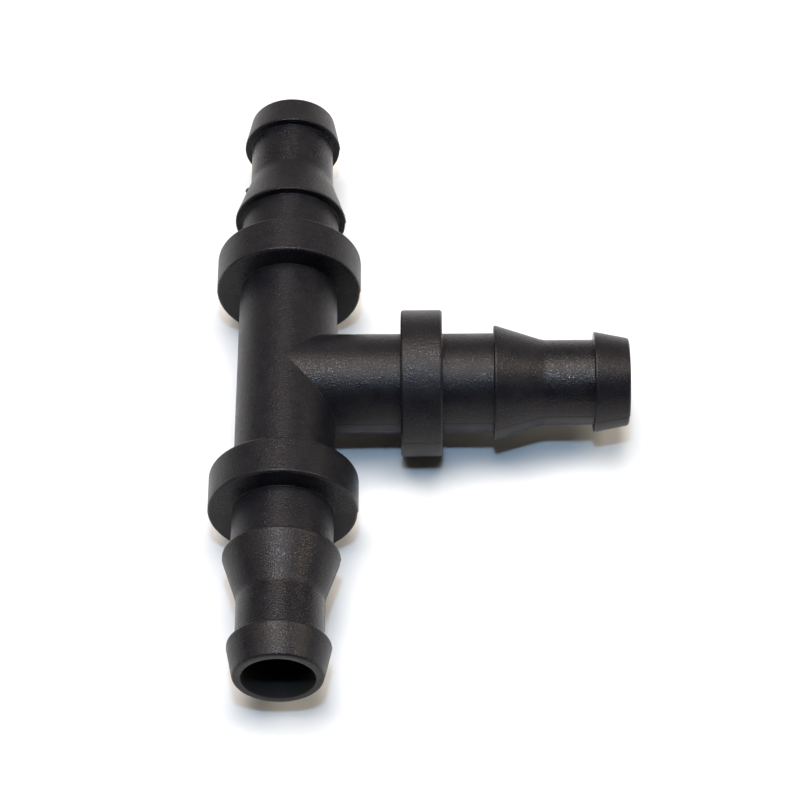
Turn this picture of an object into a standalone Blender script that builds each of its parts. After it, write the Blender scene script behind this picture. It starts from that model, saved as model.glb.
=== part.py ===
"""Barbed tee connector for 13 mm irrigation hose: one black plastic moulding with three equal arms.

The tee lies on its three collars, with its axes level. The straight run lies along Y and the branch
points towards +X. The origin is the centre of the base of the whole part's box. Sizes are in metres.
"""

import math

import bmesh
import bpy
from mathutils import Vector

# The waterway, and the walls around it.
BORE_RADIUS = 0.0052
STUB_WALL = 0.0021
ROOT_NECK_WALL = 0.0021
TIP_NECK_WALL = 0.00105
TIP_WALL = 0.0012

# The collar, which is the hose's stop and the foot that the tee lies on.
COLLAR_RADIUS = 0.01075
COLLAR_WIDTH = 0.0060

# How far each barb stands proud of the neck behind it.
MID_BARB_HEIGHT = 0.0011
END_BARB_HEIGHT = 0.0011

# Lengths along an arm, in order from the crossing of the axes to the open end.
STUB_LENGTH = 0.0168
ROOT_NECK_LENGTH = 0.0075
MID_BARB_LENGTH = 0.0071
TIP_NECK_LENGTH = 0.00745
END_BARB_LENGTH = 0.00515

# The flat top of a barb, and the roundings that the mould leaves on outer edges.
BARB_LAND = 0.0004
COLLAR_ROUNDING = 0.0004
CREST_ROUNDING = 0.0002
TIP_ROUNDING = 0.0003

# Facets in a full turn, in a quarter turn of a rounding, and the largest gap that is closed up.
SEGMENTS = 48
ROUNDING_STEPS = 2
WELD_DISTANCE = 1e-6
SMOOTH_BELOW = math.radians(30)

PLASTIC_COLOUR = (0.028, 0.027, 0.025, 1.0)
PLASTIC_ROUGHNESS = 0.55

# Places that follow from the sizes above.
STUB_RADIUS = BORE_RADIUS + STUB_WALL
ROOT_NECK_RADIUS = BORE_RADIUS + ROOT_NECK_WALL
MID_BARB_RADIUS = ROOT_NECK_RADIUS + MID_BARB_HEIGHT
TIP_NECK_RADIUS = BORE_RADIUS + TIP_NECK_WALL
END_BARB_RADIUS = TIP_NECK_RADIUS + END_BARB_HEIGHT
TIP_RADIUS = BORE_RADIUS + TIP_WALL
COLLAR_OUTER_FACE = STUB_LENGTH + COLLAR_WIDTH
MID_BARB_FACE = COLLAR_OUTER_FACE + ROOT_NECK_LENGTH
TIP_NECK_START = MID_BARB_FACE + MID_BARB_LENGTH
END_BARB_FACE = TIP_NECK_START + TIP_NECK_LENGTH
ARM_LENGTH = END_BARB_FACE + END_BARB_LENGTH

# The crossing of the axes: the collars touch the floor, and the box is centred on the origin.
CROSSING = Vector(((COLLAR_RADIUS - ARM_LENGTH) / 2, 0, COLLAR_RADIUS))


def clear_scene():
    for obj in list(bpy.data.objects):
        bpy.data.objects.remove(obj, do_unlink=True)


def rounded_corner(along, radius, size, start_degrees, end_degrees):
    """A rounding that ends or starts square to the axis, as (along, radius) points.

    The angles turn about the rounding's own centre: 0 points to the open end and 90 points outwards.
    """
    inwards = -size if end_degrees + start_degrees < 180 else size
    centre = (along + inwards, radius - size)
    points = []
    for step in range(ROUNDING_STEPS + 1):
        share = step / ROUNDING_STEPS
        angle = math.radians(start_degrees + (end_degrees - start_degrees) * share)
        points.append((centre[0] + size * math.cos(angle), centre[1] + size * math.sin(angle)))
    return points


def towards_root(along, radius, size):
    """The rounded edge of a shoulder that faces back to the crossing."""
    return rounded_corner(along, radius, size, 90, 180)


def towards_tip(along, radius, size):
    """The rounded edge of a face that looks to the open end."""
    return rounded_corner(along, radius, size, 0, 90)


def arm_outline():
    """One arm in section: out along the bore, round the open end, and back along the outside."""
    outline = [(0, BORE_RADIUS), (ARM_LENGTH, BORE_RADIUS)]
    outline += towards_tip(ARM_LENGTH, TIP_RADIUS, TIP_ROUNDING)
    outline += [(END_BARB_FACE + CREST_ROUNDING + BARB_LAND, END_BARB_RADIUS)]
    outline += towards_root(END_BARB_FACE, END_BARB_RADIUS, CREST_ROUNDING)
    outline += [(END_BARB_FACE, TIP_NECK_RADIUS), (TIP_NECK_START, TIP_NECK_RADIUS)]
    outline += [(MID_BARB_FACE + CREST_ROUNDING + BARB_LAND, MID_BARB_RADIUS)]
    outline += towards_root(MID_BARB_FACE, MID_BARB_RADIUS, CREST_ROUNDING)
    outline += [(MID_BARB_FACE, ROOT_NECK_RADIUS), (COLLAR_OUTER_FACE, ROOT_NECK_RADIUS)]
    outline += towards_tip(COLLAR_OUTER_FACE, COLLAR_RADIUS, COLLAR_ROUNDING)
    outline += towards_root(STUB_LENGTH, COLLAR_RADIUS, COLLAR_ROUNDING)
    outline += [(STUB_LENGTH, STUB_RADIUS), (0, STUB_RADIUS)]
    return outline


def turn_arm(direction):
    """One arm as a full turn of its outline about `direction`, with its root at the origin."""
    shape = bmesh.new()
    down = Vector((0, 0, -1))
    verts = [shape.verts.new(direction * along + down * radius) for along, radius in arm_outline()]
    edges = [shape.edges.new(pair) for pair in zip(verts, verts[1:])]
    bmesh.ops.spin(
        shape,
        geom=verts + edges,
        cent=(0, 0, 0),
        axis=direction,
        angle=math.tau,
        steps=SEGMENTS,
        use_merge=True,
    )
    bmesh.ops.remove_doubles(shape, verts=shape.verts, dist=WELD_DISTANCE)
    return shape


def cut_away(shape, outwards):
    """Cuts the shape at the plane through the origin and drops the side that `outwards` points to."""
    bmesh.ops.bisect_plane(
        shape,
        geom=shape.verts[:] + shape.edges[:] + shape.faces[:],
        dist=WELD_DISTANCE,
        plane_co=(0, 0, 0),
        plane_no=outwards,
        clear_outer=True,
    )


def plastic():
    material = bpy.data.materials.new("black_plastic")
    material.use_nodes = True
    shader = material.node_tree.nodes["Principled BSDF"]
    shader.inputs["Base Color"].default_value = PLASTIC_COLOUR
    shader.inputs["Roughness"].default_value = PLASTIC_ROUGHNESS
    shader.inputs["Metallic"].default_value = 0.0
    return material


def make_tee_body():
    """Three arms of one pattern, each mitred against the other two and welded into one shell."""
    back, front, side = Vector((0, 1, 0)), Vector((0, -1, 0)), Vector((1, 0, 0))
    cuts = {
        "back": (back, (front, side - back)),
        "front": (front, (back, side - front)),
        "side": (side, (back - side, front - side)),
    }
    body = bmesh.new()
    for direction, planes in cuts.values():
        arm = turn_arm(direction)
        for outwards in planes:
            cut_away(arm, outwards)
        piece = bpy.data.meshes.new("arm")
        arm.to_mesh(piece)
        arm.free()
        body.from_mesh(piece)
        bpy.data.meshes.remove(piece)
    bmesh.ops.remove_doubles(body, verts=body.verts, dist=WELD_DISTANCE)
    bmesh.ops.recalc_face_normals(body, faces=body.faces)
    mesh = bpy.data.meshes.new("tee_body")
    body.to_mesh(mesh)
    body.free()
    mesh.shade_smooth()
    mesh.set_sharp_from_angle(angle=SMOOTH_BELOW)
    mesh.materials.append(plastic())
    tee = bpy.data.objects.new("tee_body", mesh)
    tee.location = CROSSING
    bpy.context.scene.collection.objects.link(tee)


clear_scene()
make_tee_body()
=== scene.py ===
# %% [markdown]
# # A barbed tee for irrigation hose
#
# The object is one black plastic moulding. Three equal arms meet in a tee. Each arm has a short stub, a
# round collar that stops the hose, and two barbs that grip it. This lesson turns the plain model of that
# tee into one that looks like the real moulding: rounded edges, a parting line, and the dull sparkle of
# plastic from a spark-eroded mould.
#
# Sizes come from the plain model, which is already right. First it is loaded.

# %% Load the plain model
import math

import bmesh
import bpy
from mathutils import Matrix, Vector


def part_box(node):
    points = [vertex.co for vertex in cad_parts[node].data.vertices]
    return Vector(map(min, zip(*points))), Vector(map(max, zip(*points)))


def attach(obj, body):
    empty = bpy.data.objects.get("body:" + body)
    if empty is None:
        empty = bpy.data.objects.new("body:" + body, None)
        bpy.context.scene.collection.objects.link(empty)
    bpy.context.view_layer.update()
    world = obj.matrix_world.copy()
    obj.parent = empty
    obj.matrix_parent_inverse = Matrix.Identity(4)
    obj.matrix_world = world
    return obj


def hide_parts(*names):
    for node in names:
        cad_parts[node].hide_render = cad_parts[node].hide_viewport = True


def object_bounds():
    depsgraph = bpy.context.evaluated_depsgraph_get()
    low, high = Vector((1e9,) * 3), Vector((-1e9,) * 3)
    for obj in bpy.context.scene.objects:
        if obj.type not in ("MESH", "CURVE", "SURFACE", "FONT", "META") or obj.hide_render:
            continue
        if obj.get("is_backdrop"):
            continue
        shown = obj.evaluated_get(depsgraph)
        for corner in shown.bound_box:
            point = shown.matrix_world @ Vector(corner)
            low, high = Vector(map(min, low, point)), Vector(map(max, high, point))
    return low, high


MM = 0.001

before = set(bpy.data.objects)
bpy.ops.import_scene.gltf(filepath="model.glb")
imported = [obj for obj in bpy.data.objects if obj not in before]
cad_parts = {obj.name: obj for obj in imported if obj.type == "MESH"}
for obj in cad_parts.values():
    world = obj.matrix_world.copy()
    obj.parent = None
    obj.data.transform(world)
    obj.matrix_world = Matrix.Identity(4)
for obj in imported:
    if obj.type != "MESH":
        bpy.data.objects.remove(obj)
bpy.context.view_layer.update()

# %% [markdown]
# ## Where the arms are
#
# The tee lies on its three collars, so the collars' radius is half of its height. The branch points along
# +X, and the run lies along Y. Those facts give the point where the three axes cross.

# %% Find the crossing of the axes
low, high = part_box("tee_body")
arm_length = high.y
collar_radius = (high.z - low.z) / 2
crossing = Vector((high.x - arm_length, 0, low.z + collar_radius))
print("axes cross at, mm:", [round(value / MM, 3) for value in crossing])

# %% [markdown]
# ## The arm in section
#
# A turned shape is known once its section is known. The plain model has a row of points straight above the
# back arm's axis, and each is a place along the arm and a radius. A place that holds two or more radii is a
# flat step square to the axis. There are five: both faces of the collar, the backs of the two barbs, and
# the open end. The largest radius between two steps is the crest that stands there.

# %% Read the steps and the crests from the plain model
SAME_PLACE = 0.005 * MM
LEAST_STEP = 0.5 * MM
ROUNDED_END = 0.31 * MM

section = set()
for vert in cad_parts["tee_body"].data.vertices:
    across, along, up = vert.co - crossing
    if abs(across) < SAME_PLACE and along > -SAME_PLACE and up > 0:
        section.add((round(along, 6), round(up, 6)))

places = sorted({along for along, _ in section})
radii_at = {place: sorted(radius for along, radius in section if along == place) for place in places}


def step_height(place):
    """How far the radius jumps at a place along the arm."""
    return radii_at[place][-1] - radii_at[place][0]


def crest(start, end):
    """The largest radius between two places along the arm."""
    return max(radius for along, radius in section if start <= along <= end)


steps = [place for place in places if place > SAME_PLACE and step_height(place) > LEAST_STEP]
collar_in, collar_out, mid_face, end_face, open_end = steps
bore, stub, root_neck = radii_at[open_end][0], radii_at[collar_in][0], radii_at[collar_out][0]
mid_barb, end_barb = crest(mid_face, mid_face + MM), crest(end_face, end_face + MM)
tip_neck = radii_at[end_face][0]
tip = crest(open_end - ROUNDED_END, open_end)
cone_foot = min(along for along, radius in section if radius == tip_neck and along > mid_face)
print("steps along the arm, mm:", [round(step / MM, 2) for step in steps])
print("radii, mm:", [round(r / MM, 2) for r in (bore, stub, mid_barb, tip_neck, end_barb, tip)])

# %% [markdown]
# ## Corners with their own roundings
#
# Light tells a real moulding from a drawing by its edges, because none of them is a perfect corner. Outer
# edges get a small radius from the mould cutter, most inner corners a smaller one, and the foot of the long
# cone runs into its neck in a wide sweep. A Bevel modifier would give them all the same width. So the section
# is written as a list of corners, each with the radius of its own rounding, and the arc is worked out with a
# little trigonometry. The land on top of each barb is what a mould maker leaves so that the crest doesn't
# tear.

# %% List the corners of the outside, from the open end to the stub
LAND = 0.35 * MM
MOUTH_EDGE = 0.12 * MM
TIP_EDGE = 0.45 * MM
CREST_EDGE = 0.5 * MM
BARB_EDGE = 0.16 * MM
COLLAR_EDGE = 0.4 * MM
INNER_CORNER = 0.1 * MM
CONE_SWEEP = 4.0 * MM

corners = [
    (open_end, bore, MOUTH_EDGE),
    (open_end, tip, TIP_EDGE),
    (end_face + LAND, end_barb, CREST_EDGE),
    (end_face, end_barb, BARB_EDGE),
    (end_face, tip_neck, INNER_CORNER),
    (cone_foot, tip_neck, CONE_SWEEP),
    (mid_face + LAND, mid_barb, CREST_EDGE),
    (mid_face, mid_barb, BARB_EDGE),
    (mid_face, root_neck, INNER_CORNER),
    (collar_out, root_neck, INNER_CORNER),
    (collar_out, collar_radius, COLLAR_EDGE),
    (collar_in, collar_radius, COLLAR_EDGE),
    (collar_in, stub, INNER_CORNER),
]


def rounded(before, corner, after, size, turns=5):
    """The points of the arc that replaces a corner. Its ends are on the two lines that meet there."""
    corner = Vector(corner)
    back = (Vector(before) - corner).normalized()
    on = (Vector(after) - corner).normalized()
    half = back.angle(on) / 2
    reach = size / math.tan(half)
    centre = corner + (back + on).normalized() * (size / math.sin(half))
    start, end = corner + back * reach - centre, corner + on * reach - centre
    sweep = math.atan2(start.cross(end), start.dot(end))
    return [centre + Matrix.Rotation(sweep * turn / turns, 2) @ start for turn in range(turns + 1)]


line = [(0, bore)] + [corner[:2] for corner in corners] + [(0, stub)]
arcs = []
for before, corner, after, (_, _, size) in zip(line, line[1:], line[2:], corners):
    arcs.append(rounded(before, corner, after, size))
print("points in the rounded corners:", sum(len(arc) for arc in arcs))

# %% [markdown]
# ## The section as rows
#
# A row is one ring of the turned arm. Geometry Nodes will read the rows from the vertices of a small mesh,
# so each row becomes one vertex: X holds its place along the arm, Z its radius, and Y its turn in the
# fillet between two stubs. A named attribute says whether the row is on the outer skin or in the bore, and
# another how glossy it is, because the neck behind the tip is smoother than the rest.
# Long straight stretches get extra rows, so that the skin can carry the slight unevenness of a moulding. Two
# of those rows stand right beside the corners, which keeps a corner's soft shading from spreading.

# %% Lay out the rows
SKIN_ROW_STEP = 1.2 * MM
BORE_ROW_STEP = 4.0 * MM
HOLD = 0.06 * MM
LONG_ENOUGH = 4 * HOLD
MITRE = math.radians(45)
FILLET_TURNS = 5
POLISH_FADE = 0.6 * MM


def filled(points, step):
    """Adds points no further apart than the step, and one close to each end of a long stretch."""
    result = [points[0]]
    for start, end in zip(points, points[1:]):
        length = (end - start).length
        parts = max(1, math.ceil(length / step))
        shares = [part / parts for part in range(1, parts)]
        if length > LONG_ENOUGH:
            shares = [HOLD / length] + shares + [1 - HOLD / length]
        result += [start.lerp(end, share) for share in shares + [1]]
    return result


def polish(along):
    """How smooth the skin is there: 1 on the neck behind the tip, fading to 0 at both ends of it."""
    return max(0.0, min(1.0, (along - cone_foot) / POLISH_FADE, (end_face - along) / POLISH_FADE + 1.0))


inside = filled([Vector((0, bore))] + arcs[0], BORE_ROW_STEP)
outside = filled([point for arc in arcs[1:] for point in arc] + [Vector((0, stub))], SKIN_ROW_STEP)
rows = [(point.x, 0.0, point.y, 0.0) for point in inside]
rows += [(point.x, 0.0, point.y, 1.0) for point in outside]
rows += [(0.0, MITRE * turn / FILLET_TURNS, stub, 1.0) for turn in range(1, FILLET_TURNS + 1)]
glossy = [polish(row[0]) * row[3] for row in rows]

outline = bpy.data.meshes.new("outline_of_an_arm")
outline.from_pydata([row[:3] for row in rows], [], [])
outline.attributes.new("skin", "FLOAT", "POINT").data.foreach_set("value", [row[3] for row in rows])
outline.attributes.new("polish", "FLOAT", "POINT").data.foreach_set("value", glossy)
tee = bpy.data.objects.new("tee_moulding", outline)
bpy.context.scene.collection.objects.link(tee)
print("rows in one arm:", len(rows))

# %% [markdown]
# ## A helper for node trees
#
# A node tree is a recipe, and a recipe reads best as one line for each step. This helper adds a node, feeds
# its sockets in order or by name, and hands back its first output, so that the next line can use it. A
# socket takes either a plain value or the output of another node.

# %% Add a node and feed it
def add(tree, kind, *feeds, named=None, **settings):
    """Adds a node, sets its options, feeds its inputs, and returns its first output if it has one."""
    node = tree.nodes.new(kind)
    for name, value in settings.items():
        setattr(node, name, value)
    pairs = list(zip(node.inputs, feeds))
    pairs += [(node.inputs[name], feed) for name, feed in (named or {}).items()]
    for target, feed in pairs:
        if isinstance(feed, bpy.types.NodeSocket):
            tree.links.new(feed, target)
        elif feed is not None:
            target.default_value = feed
    return node.outputs[0] if node.outputs else None


def maths(tree, operation, *feeds):
    """A Math node."""
    return add(tree, "ShaderNodeMath", *feeds, operation=operation)


def vectors(tree, operation, *feeds):
    """A Vector Math node."""
    return add(tree, "ShaderNodeVectorMath", *feeds, operation=operation)


def scaled(tree, vector, factor):
    """A vector times a number."""
    return add(tree, "ShaderNodeVectorMath", vector, None, None, factor, operation="SCALE")


def dot(tree, one, other):
    """The dot product, which is the second output of its node."""
    return vectors(tree, "DOT_PRODUCT", one, other).node.outputs["Value"]


def blend(tree, share, one, other):
    """A colour between two others: the first where the share is 0, and the second where it is 1."""
    unused = [None] * 5
    return add(tree, "ShaderNodeMix", share, *unused, one, other, data_type="RGBA").node.outputs[2]


def socket(tree, name, kind, value=None, output=False):
    """Adds a named socket to a tree's interface, with its starting value."""
    item = tree.interface.new_socket(name, in_out="OUTPUT" if output else "INPUT", socket_type=kind)
    if value is not None:
        item.default_value = value
    return item


print("helpers ready")

# %% [markdown]
# ## One arm as a rule
#
# The three arms follow one rule, so they are made by one node group. A flat grid has a line of vertices for
# each row of the section and a column for each step round the axis. The group bends that grid into a
# turned shape. Columns crowd together near the parting plane, where the two halves of the mould met,
# because the thin line of flash there needs them.
#
# Two arms that meet at right angles share a mitre at 45 degrees. A point that stands off to the side by
# some distance starts that same distance along its arm, which is the whole rule of the mitre. The offset
# fades out along the stub, so the collar stays flat.
#
# The group's sizes are its inputs. They are written down once, in a table, because the tree of the whole tee
# has the same ones.

# %% Begin the arm: its sizes are the inputs
SIZES = {
    "Columns": ("NodeSocketInt", 177),
    "Crowding": ("NodeSocketFloat", 0.94),
    "Stub Length": ("NodeSocketFloat", collar_in),
    "Fillet": ("NodeSocketFloat", 0.06 * MM),
    "Mould Step": ("NodeSocketFloat", 0.05 * MM),
    "Flash Height": ("NodeSocketFloat", 0.03 * MM),
    "Unevenness": ("NodeSocketFloat", 0.02 * MM),
}

arm = bpy.data.node_groups.new("turned_arm", "GeometryNodeTree")
socket(arm, "Outline", "NodeSocketGeometry")
socket(arm, "Forward", "NodeSocketVector", (0, 1, 0))
socket(arm, "Side", "NodeSocketVector", (1, 0, 0))
socket(arm, "Mitre Side", "NodeSocketVector", (1, 0, 0))
socket(arm, "Other Mitre Side", "NodeSocketVector", (0, 0, 0))
socket(arm, "Bead Height", "NodeSocketFloat", 0.0)
for name, (kind, value) in SIZES.items():
    socket(arm, name, kind, value)
socket(arm, "Arm", "NodeSocketGeometry", output=True)
given = arm.nodes.new("NodeGroupInput").outputs
print("inputs of the arm:", [item.name for item in given if item.name])

# %% Spread the rows and columns over a grid
size = arm.nodes.new("GeometryNodeAttributeDomainSize")
arm.links.new(given["Outline"], size.inputs["Geometry"])
grid = add(arm, "GeometryNodeMeshGrid", 1.0, 1.0, size.outputs["Point Count"], given["Columns"])
index = add(arm, "GeometryNodeInputIndex")
row = maths(arm, "FLOOR", maths(arm, "DIVIDE", maths(arm, "ADD", index, 0.5), given["Columns"]))
column = maths(arm, "SUBTRACT", index, maths(arm, "MULTIPLY", row, given["Columns"]))

here = add(arm, "GeometryNodeInputPosition")
place = add(arm, "GeometryNodeSampleIndex", given["Outline"], None, row, data_type="FLOAT_VECTOR")
arm.links.new(here, place.node.inputs["Value"])
is_skin = add(arm, "GeometryNodeInputNamedAttribute", "skin", data_type="FLOAT")
skin = add(arm, "GeometryNodeSampleIndex", given["Outline"], None, row, data_type="FLOAT")
arm.links.new(is_skin, skin.node.inputs["Value"])
is_polished = add(arm, "GeometryNodeInputNamedAttribute", "polish", data_type="FLOAT")
polished = add(arm, "GeometryNodeSampleIndex", given["Outline"], None, row, data_type="FLOAT")
arm.links.new(is_polished, polished.node.inputs["Value"])
along, turn, radius = add(arm, "ShaderNodeSeparateXYZ", place).node.outputs
print("the grid has a vertex for each row and column")

# %% Turn the columns round the axis, crowded at the parting plane
whole = maths(arm, "SUBTRACT", given["Columns"], 1.0)
share = maths(arm, "MULTIPLY", maths(arm, "DIVIDE", column, whole), math.tau)
pull = maths(arm, "SINE", maths(arm, "MULTIPLY", share, 2.0))
pull = maths(arm, "MULTIPLY", pull, maths(arm, "MULTIPLY", given["Crowding"], 0.5))
angle = maths(arm, "SUBTRACT", share, pull)
cosine = maths(arm, "COSINE", angle)
sine = maths(arm, "SINE", angle)
print("columns crowd at the two sides")

# %% [markdown]
# ## What moulding does to the skin
#
# Three small things set the moulded skin apart from a turned one. The plastic shrinks a little unevenly as
# it cools. A hair of flash stands along the parting plane. And the lower half of the mould was set a
# twentieth of a millimetre to one side, so its half of the skin is a step out of line. All three are taken
# off the skin and never added, which keeps the tee inside the plain model's box.

# %% Shrink, step and flash
SHRINK_SIZE = 7 * MM
SETTLED = collar_in * 0.6
JUST_BELOW = -1e-7
FLASH_HALF_WIDTH = 0.035 * MM

around = add(arm, "ShaderNodeCombineXYZ", 0.0, 0.0, maths(arm, "MULTIPLY", radius, sine))
spot = vectors(arm, "ADD", scaled(arm, given["Forward"], along), around)
spot = vectors(arm, "ADD", spot, scaled(arm, given["Side"], maths(arm, "MULTIPLY", radius, cosine)))
noise = add(arm, "ShaderNodeTexNoise", spot, None, 1 / SHRINK_SIZE, 1.0, 0.5)
far_out = add(arm, "ShaderNodeMapRange", along, 0.0, SETTLED, 0.0, 1.0)
sink = maths(arm, "MULTIPLY", noise, given["Unevenness"])
sink = maths(arm, "MULTIPLY", sink, maths(arm, "MULTIPLY", far_out, skin))
radius = maths(arm, "SUBTRACT", radius, sink)
up = maths(arm, "MULTIPLY", radius, sine)
below = maths(arm, "MULTIPLY", maths(arm, "LESS_THAN", up, JUST_BELOW), skin)
flash = maths(arm, "SUBTRACT", 1.0, maths(arm, "DIVIDE", maths(arm, "ABSOLUTE", up), FLASH_HALF_WIDTH))
flash = maths(arm, "MAXIMUM", flash, 0.0)
no_flash = maths(arm, "MULTIPLY", maths(arm, "SUBTRACT", 1.0, flash), given["Flash Height"])
stepped = maths(arm, "MULTIPLY", below, given["Mould Step"])
taken = maths(arm, "ADD", maths(arm, "MULTIPLY", no_flash, skin), stepped)
reach = maths(arm, "MULTIPLY", maths(arm, "SUBTRACT", radius, taken), cosine)
print("the skin is uneven, flashed and stepped")

# %% [markdown]
# One arm also carries a bead of flash, where plastic crept into a nick in the mould's edge. It stands on the
# parting plane, at the thin end of the barb. It is a small dome whose height is an input of the group, so
# that the other arms can leave it out. It is the one thing added to the skin, and the collar stands far
# beyond it.

# %% Raise the bead of flash
BEAD_PLACE = cone_foot - 0.45 * MM
BEAD_HALF_LENGTH = 0.5 * MM
BEAD_HALF_THICKNESS = 0.5 * MM

far_along = maths(arm, "DIVIDE", maths(arm, "SUBTRACT", along, BEAD_PLACE), BEAD_HALF_LENGTH)
far_up = maths(arm, "DIVIDE", up, BEAD_HALF_THICKNESS)
far_along = maths(arm, "MULTIPLY", far_along, far_along)
far_up = maths(arm, "MULTIPLY", far_up, far_up)
apart = maths(arm, "ADD", far_along, far_up)
swell = maths(arm, "SQRT", maths(arm, "MAXIMUM", maths(arm, "SUBTRACT", 1.0, apart), 0.0))
on_side = maths(arm, "MULTIPLY", maths(arm, "GREATER_THAN", cosine, 0.0), skin)
bead = maths(arm, "MULTIPLY", maths(arm, "MULTIPLY", swell, given["Bead Height"]), on_side)
reach = maths(arm, "ADD", reach, bead)
print("the bead stands at, mm:", round(BEAD_PLACE / MM, 2))

# %% Mitre the root, round the inner corner, and place every vertex
beside = scaled(arm, given["Side"], reach)
offset = dot(arm, beside, given["Mitre Side"])
offset = maths(arm, "MAXIMUM", offset, dot(arm, beside, given["Other Mitre Side"]))
offset = maths(arm, "MAXIMUM", offset, 0.0)
fillet = maths(arm, "MULTIPLY", maths(arm, "MINIMUM", offset, given["Fillet"]), skin)
rise = maths(arm, "MULTIPLY", fillet, maths(arm, "SUBTRACT", 1.0, maths(arm, "SINE", turn)))
spread = maths(arm, "MULTIPLY", fillet, maths(arm, "SUBTRACT", 1.0, maths(arm, "COSINE", turn)))
fade = maths(arm, "SUBTRACT", 1.0, maths(arm, "DIVIDE", along, given["Stub Length"]))
fade = maths(arm, "MAXIMUM", fade, 0.0)
ahead = maths(arm, "ADD", along, maths(arm, "MULTIPLY", maths(arm, "ADD", offset, rise), fade))
sideways = maths(arm, "ADD", reach, maths(arm, "MULTIPLY", maths(arm, "SIGN", cosine), spread))
upright = add(arm, "ShaderNodeCombineXYZ", maths(arm, "MULTIPLY", stepped, -1.0), 0.0, up)
point = vectors(arm, "ADD", scaled(arm, given["Forward"], ahead), scaled(arm, given["Side"], sideways))
point = vectors(arm, "ADD", vectors(arm, "ADD", point, upright), tuple(crossing))
marked = add(arm, "GeometryNodeStoreNamedAttribute", grid, None, "skin", skin, data_type="FLOAT")
marked = add(arm, "GeometryNodeStoreNamedAttribute", marked, None, "polish", polished, data_type="FLOAT")
bent = add(arm, "GeometryNodeSetPosition", marked, None, point)
arm.links.new(bent, arm.nodes.new("NodeGroupOutput").inputs[0])
print("nodes in the arm:", len(arm.nodes))

# %% [markdown]
# ## The black plastic
#
# The tee is polypropylene with carbon black, fresh from the mould. Black plastic is never black: its body is
# a very dark and faintly blue grey, and most of what is seen on it is reflection, which is tinted warm. The
# upper half of the mould was spark-eroded, which leaves a fine grain with glittering specks. A fine noise
# picks the specks, which reflect more than the rest, and drives a shallow Bump node. The specks fade towards
# the parting plane, where a mould's grain has to be shallow so that the moulding comes free.
#
# The lower half and the bore have almost no relief, so their roughness value is a little higher to make up
# for it. The bore is painted a lighter grey, which is painted light: it stands in for the faint haze of light
# that lifts the bore's deep shade. The neck behind the tip is a little glossier. A broader noise shifts the
# roughness and the tone. All of it reads Object coordinates or attributes of the mesh, so it stays on the
# piece from any side.

# %% Mix the plastic
BLACK = (0.0052, 0.0054, 0.0080, 1)
GREY_BLOOM = (0.0084, 0.0085, 0.0106, 1)
# Painted light: the bore's grey is lighter than the plastic and stands in for the haze of light in its shade.
BORE_PAINTED_LIGHT = (0.024, 0.023, 0.022, 1)
WARM_GLEAM = (0.85, 0.76, 0.71, 1)
SPARK = (1.45, 1.42, 1.42, 1)
SKIN_FADE = 0.1
PARTING_BLUR = 0.03 * MM

plastic = bpy.data.materials.new("black_plastic")
plastic.use_nodes = True
shade = plastic.node_tree
shade.nodes.clear()
on_piece = add(shade, "ShaderNodeTexCoord").node.outputs["Object"]
height = add(shade, "ShaderNodeSeparateXYZ", on_piece).node.outputs["Z"]
skin = add(shade, "ShaderNodeAttribute", attribute_name="skin").node.outputs["Fac"]
outside = add(shade, "ShaderNodeMapRange", skin, 0.0, SKIN_FADE, 0.0, 1.0)
lower = add(shade, "ShaderNodeMapRange", height, crossing.z, crossing.z - PARTING_BLUR, 0.0, 1.0)
grained = maths(shade, "MULTIPLY", outside, maths(shade, "SUBTRACT", 1.0, lower))
print("masks: the outer skin, the lower half, and the grained upper half")

# %% Grain, blotches and gloss
GRAIN_SIZE = 0.22 * MM
GRAIN_HEIGHT = 0.07 * MM
BLOTCH_SIZE = 2.6 * MM
SPECK_FROM, SPECK_TO = 0.52, 0.66
SHALLOW, DEEP = 1.0 * MM, 4.5 * MM
SHALLOW_SHARE = 0.25
SMOOTH_BUMP = 0.1
SMOOTH_ROUGHNESS, GRAINED_ROUGHNESS = 0.44, 0.38
BLOTCH_SWING = 0.05
SPECK_GLOSS, POLISH_GLOSS = 0.10, 0.08

grain = add(shade, "ShaderNodeTexNoise", on_piece, None, 1 / GRAIN_SIZE, 1.0, 0.5)
blotch = add(shade, "ShaderNodeTexNoise", on_piece, None, 1 / BLOTCH_SIZE, 3.0, 0.6)
speck = add(shade, "ShaderNodeMapRange", grain, SPECK_FROM, SPECK_TO, 0.0, 1.0)
depth = add(shade, "ShaderNodeMapRange", grained, 0.0, 1.0, SMOOTH_BUMP, 1.0)
bump = add(shade, "ShaderNodeBump", named={"Strength": depth, "Distance": GRAIN_HEIGHT, "Height": grain})
gloss = add(shade, "ShaderNodeMapRange", grained, 0.0, 1.0, SMOOTH_ROUGHNESS, GRAINED_ROUGHNESS)
reach_of_grain = (crossing.z + SHALLOW, crossing.z + DEEP, SHALLOW_SHARE, 1.0)
deep_grain = add(shade, "ShaderNodeMapRange", height, *reach_of_grain)
sparkle = maths(shade, "MULTIPLY", maths(shade, "MULTIPLY", speck, deep_grain), grained)
glint = maths(shade, "MULTIPLY", sparkle, SPECK_GLOSS)
uneven = add(shade, "ShaderNodeMapRange", blotch, 0.3, 0.7, -BLOTCH_SWING, BLOTCH_SWING)
smooth_neck = add(shade, "ShaderNodeAttribute", attribute_name="polish").node.outputs["Fac"]
shine = maths(shade, "ADD", glint, maths(shade, "MULTIPLY", smooth_neck, POLISH_GLOSS))
roughness = maths(shade, "SUBTRACT", maths(shade, "ADD", gloss, uneven), shine)
tone = add(shade, "ShaderNodeValToRGB", blotch)
stops = tone.node.color_ramp.elements
stops[0].position, stops[0].color = 0.35, BLACK
stops[1].position, stops[1].color = 0.75, GREY_BLOOM
# The bore takes the painted-light grey, which stands in for the haze in its shade. The skin takes the
# blotched black.
colour = blend(shade, outside, BORE_PAINTED_LIGHT, tone)
gleam = blend(shade, sparkle, WARM_GLEAM, SPARK)
print("nodes in the plastic:", len(shade.nodes))

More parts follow.
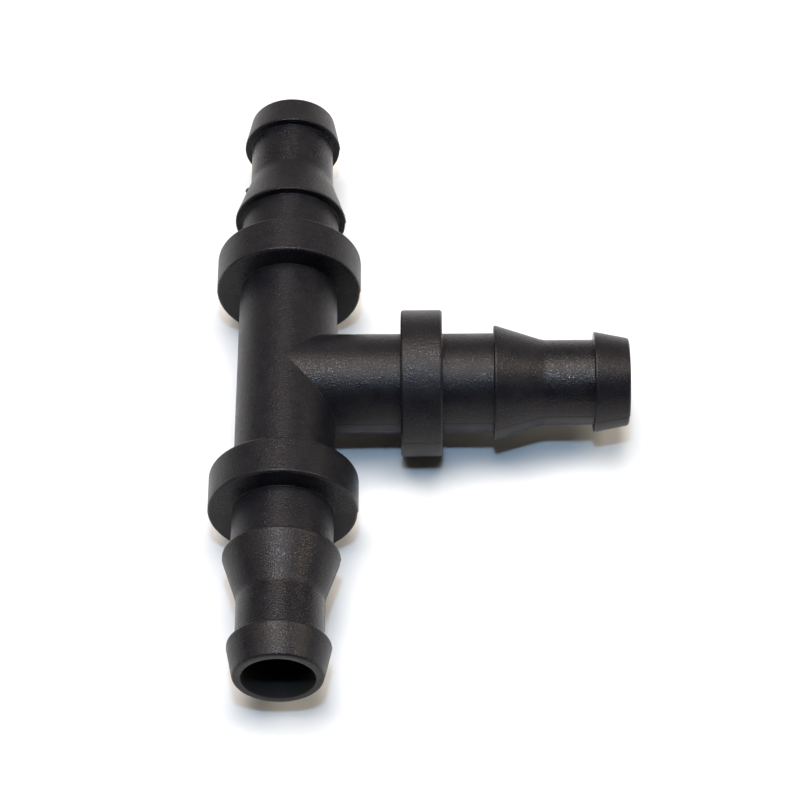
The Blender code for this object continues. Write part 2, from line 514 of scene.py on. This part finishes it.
# %% Join them in the shader
feeds = {"Base Color": colour, "Roughness": roughness, "Specular Tint": gleam, "Normal": bump}
surface = add(shade, "ShaderNodeBsdfPrincipled", named=feeds)
surface.node.inputs["IOR"].default_value = 1.49
surface.node.inputs["Specular IOR Level"].default_value = 0.25
add(shade, "ShaderNodeOutputMaterial", surface)
print("black plastic is mixed")

# %% [markdown]
# ## Three arms, one tee
#
# The whole tee is the same arm three times, looking back, forward and along the branch. Each arm gets its
# own directions, and the arms of the run have one mitre each where the branch has two. The seams are
# welded by Merge by Distance, because the mitres put the edge vertices of neighbours in the same places.
# The modifier's inputs are set by their identifiers before the tree is evaluated for the first time.

# %% Build the tree of the tee
tree = bpy.data.node_groups.new("tee_of_three_arms", "GeometryNodeTree")
socket(tree, "Outline", "NodeSocketGeometry")
inputs = {name: socket(tree, name, kind, value) for name, (kind, value) in SIZES.items()}
inputs["Material"] = socket(tree, "Material", "NodeSocketMaterial")
socket(tree, "Tee", "NodeSocketGeometry", output=True)
given = tree.nodes.new("NodeGroupInput").outputs

BEAD_HEIGHT = 0.7 * MM
WELD_DISTANCE = 0.001 * MM
DIRECTIONS = {
    "back": ((0, 1, 0), (-1, 0, 0), (1, 0, 0), (0, 0, 0), BEAD_HEIGHT),
    "front": ((0, -1, 0), (1, 0, 0), (1, 0, 0), (0, 0, 0), 0.0),
    "branch": ((1, 0, 0), (0, 1, 0), (0, 1, 0), (0, -1, 0), 0.0),
}
passed_on = [given[name] for name in SIZES]
joined = tree.nodes.new("GeometryNodeJoinGeometry")
for name, directions in DIRECTIONS.items():
    one = add(tree, "GeometryNodeGroup", given["Outline"], *directions, *passed_on, node_tree=arm)
    one.node.label = name + " arm"
    tree.links.new(one, joined.inputs[0])
welded = add(tree, "GeometryNodeMergeByDistance", joined.outputs[0], None, WELD_DISTANCE)
real = add(tree, "GeometryNodeRealizeInstances", welded)
painted = add(tree, "GeometryNodeSetMaterial", real, None, given["Material"])
tree.links.new(painted, tree.nodes.new("NodeGroupOutput").inputs[0])
print("nodes in the tee:", len(tree.nodes))

# %% Run the tree once and keep the plain mesh
recipe = tee.modifiers.new("tee", "NODES")
recipe.node_group = tree
for name, (_, value) in SIZES.items():
    recipe[inputs[name].identifier] = value
recipe[inputs["Material"].identifier] = plastic

evaluated = tee.evaluated_get(bpy.context.evaluated_depsgraph_get())
skin_mesh = bpy.data.meshes.new_from_object(evaluated)
tee.modifiers.clear()
tee.data = skin_mesh
print("faces in the tee:", len(skin_mesh.polygons))

# %% Turn the faces outward and smooth them
NO_LENGTH = 1e-7
SHARP_ANGLE = math.radians(32)
CUBIC_CM = 1e6

shell = bmesh.new()
shell.from_mesh(skin_mesh)
bmesh.ops.dissolve_degenerate(shell, dist=NO_LENGTH, edges=shell.edges)
bmesh.ops.recalc_face_normals(shell, faces=shell.faces)
open_edges = sum(1 for edge in shell.edges if len(edge.link_faces) != 2)
volume = shell.calc_volume()
shell.to_mesh(skin_mesh)
shell.free()
skin_mesh.polygons.foreach_set("use_smooth", [True] * len(skin_mesh.polygons))
skin_mesh.set_sharp_from_angle(angle=SHARP_ANGLE)
skin_mesh.update()
triangles = sum(len(face.vertices) - 2 for face in skin_mesh.polygons)
print("triangles:", triangles, "open edges:", open_edges, "volume, cm3:", round(volume * CUBIC_CM, 2))

# %% Put the moulding in the place of the plain node
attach(tee, "root")
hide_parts("tee_body")
print("pieces of the tee:", 1)

# %% [markdown]
# ## A table to stand on
#
# The floor is a plain matt sheet, pale enough to melt into the white behind it, and it takes a soft shadow.
# It belongs to the stage and not to the object.

# %% Lay the floor
FLOOR_HALF = 1.2
PALE = (0.8, 0.8, 0.8, 1)

floor_mesh = bpy.data.meshes.new("floor")
signs = [(-1, -1), (1, -1), (1, 1), (-1, 1)]
floor_corners = [(FLOOR_HALF * x, FLOOR_HALF * y, 0) for x, y in signs]
floor_mesh.from_pydata(floor_corners, [], [(0, 1, 2, 3)])
floor = bpy.data.objects.new("floor", floor_mesh)
bpy.context.scene.collection.objects.link(floor)

paper = bpy.data.materials.new("white_paper")
paper.use_nodes = True
sheet = paper.node_tree
sheet.nodes.clear()
matt = add(sheet, "ShaderNodeBsdfDiffuse", PALE)
add(sheet, "ShaderNodeOutputMaterial", matt)
floor_mesh.materials.append(paper)
floor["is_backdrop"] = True
print("floor, m:", 2 * FLOOR_HALF)

# %% [markdown]
# ## Five soft lights and a weak glow
#
# A broad warm light hangs high, a little behind the tee and to its left, and gives it soft shadows and the
# bright band on top of each arm. A small cool light in front, above the camera, fills the shadows with
# blue and glints in the grain. A tall window on each side lightens the flanks of the arms, the right one
# more than the left, and a pale wall behind brightens the edges that turn away. Each is an area light,
# since a window or a softbox is one.

# %% A helper that hangs a light
TARGET = Vector((0, 0, crossing.z))


def lamp(name, back, left, distance, width, depth, radiance, colour):
    """An area light that leans back and left from overhead, in degrees, and faces the tee."""
    turned_back = Matrix.Rotation(math.radians(-back), 3, "X")
    turned_left = Matrix.Rotation(math.radians(-left), 3, "Y")
    away = turned_left @ turned_back @ Vector((0, 0, 1))
    data = bpy.data.lights.new(name, "AREA")
    data.shape = "RECTANGLE"
    data.size, data.size_y = width, depth
    data.energy = radiance * math.pi * width * depth
    data.color = colour
    light = bpy.data.objects.new(name, data)
    light.location = TARGET + away * distance
    light.rotation_euler = away.to_track_quat("Z", "Y").to_euler()
    light.visible_camera = False
    bpy.context.scene.collection.objects.link(light)
    light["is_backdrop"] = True
    print(name, "W:", round(data.energy, 2), "at, m:", [round(value, 2) for value in light.location])


# %% Hang the lights
WARM = (1.0, 0.94, 0.90)
YELLOW = (1.0, 0.91, 0.77)
COOL = (0.45, 0.68, 0.95)

lamp("key_light", back=6, left=4, distance=3.0, width=1.85, depth=2.05, radiance=9.2, colour=WARM)
lamp("fill_light", back=-19, left=0, distance=0.55, width=0.03, depth=0.03, radiance=400.0, colour=COOL)
lamp("right_window", back=7, left=-48, distance=1.0, width=0.28, depth=0.5, radiance=10.0, colour=YELLOW)
lamp("left_window", back=0, left=48, distance=1.0, width=0.28, depth=0.5, radiance=3.2, colour=YELLOW)
lamp("back_wall", back=65, left=0, distance=1.2, width=3.0, depth=1.1, radiance=0.50, colour=YELLOW)

# %% Add the faint glow of the room
GLOW = 0.04
GLOW_COLOUR = (1.0, 0.93, 0.85, 1)
BACKDROP_WHITE = (1.0, 1.0, 1.0, 1)

world = bpy.data.worlds.new("room")
world.use_nodes = True
air = world.node_tree
air.nodes.clear()
glow = add(air, "ShaderNodeBackground", GLOW_COLOUR, GLOW)
white = add(air, "ShaderNodeBackground", BACKDROP_WHITE, 1.0)
by_camera = add(air, "ShaderNodeLightPath").node.outputs["Is Camera Ray"]
backdrop = add(air, "ShaderNodeMixShader", by_camera, glow, white)
add(air, "ShaderNodeOutputWorld", backdrop)
bpy.context.scene.world = world
print("glow of the room:", GLOW)

# %% [markdown]
# ## The camera
#
# The camera stands in front and high, and looks down the run with a long lens, which keeps the round
# collars nearly free of perspective. It leans by about a degree and a half, as a hand-held camera does.
# The view transform is the plain one, so that a colour comes out as it was mixed.

# %% Set up the camera
LENS = 140.11
SENSOR = 36.0
ELEVATION = math.radians(53.95)
AROUND = math.radians(1.193)
LEAN = math.radians(-1.408)
DISTANCE = 453.2 * MM
AIM = Vector((-3.010, -2.966, 10.75)) * MM

NEAR_LIMIT = 0.02

level_reach = math.cos(ELEVATION)
towards = (math.sin(AROUND) * level_reach, -math.cos(AROUND) * level_reach, math.sin(ELEVATION))
away = Vector(towards)
level = away.to_track_quat("Z", "Y").to_matrix()
camera_data = bpy.data.cameras.new("camera")
camera_data.lens = LENS
camera_data.sensor_width = SENSOR
camera_data.clip_start = NEAR_LIMIT
camera = bpy.data.objects.new("camera", camera_data)
leaning = (level @ Matrix.Rotation(LEAN, 3, "Z")).to_4x4()
camera.matrix_world = Matrix.Translation(AIM + away * DISTANCE) @ leaning
bpy.context.scene.collection.objects.link(camera)
bpy.context.scene.camera = camera
bpy.context.scene.view_settings.view_transform = "Standard"
print("camera at, mm:", [round(value / MM, 2) for value in camera.matrix_world.translation])

# %% [markdown]
# ## The size of the finished tee
#
# The moulding may not be bigger than the plain model. The last line prints the size of the finished tee's
# box.

# %% Print the finished tee's box
low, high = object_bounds()
print("finished tee, mm:", [round(side / MM, 3) for side in high - low])
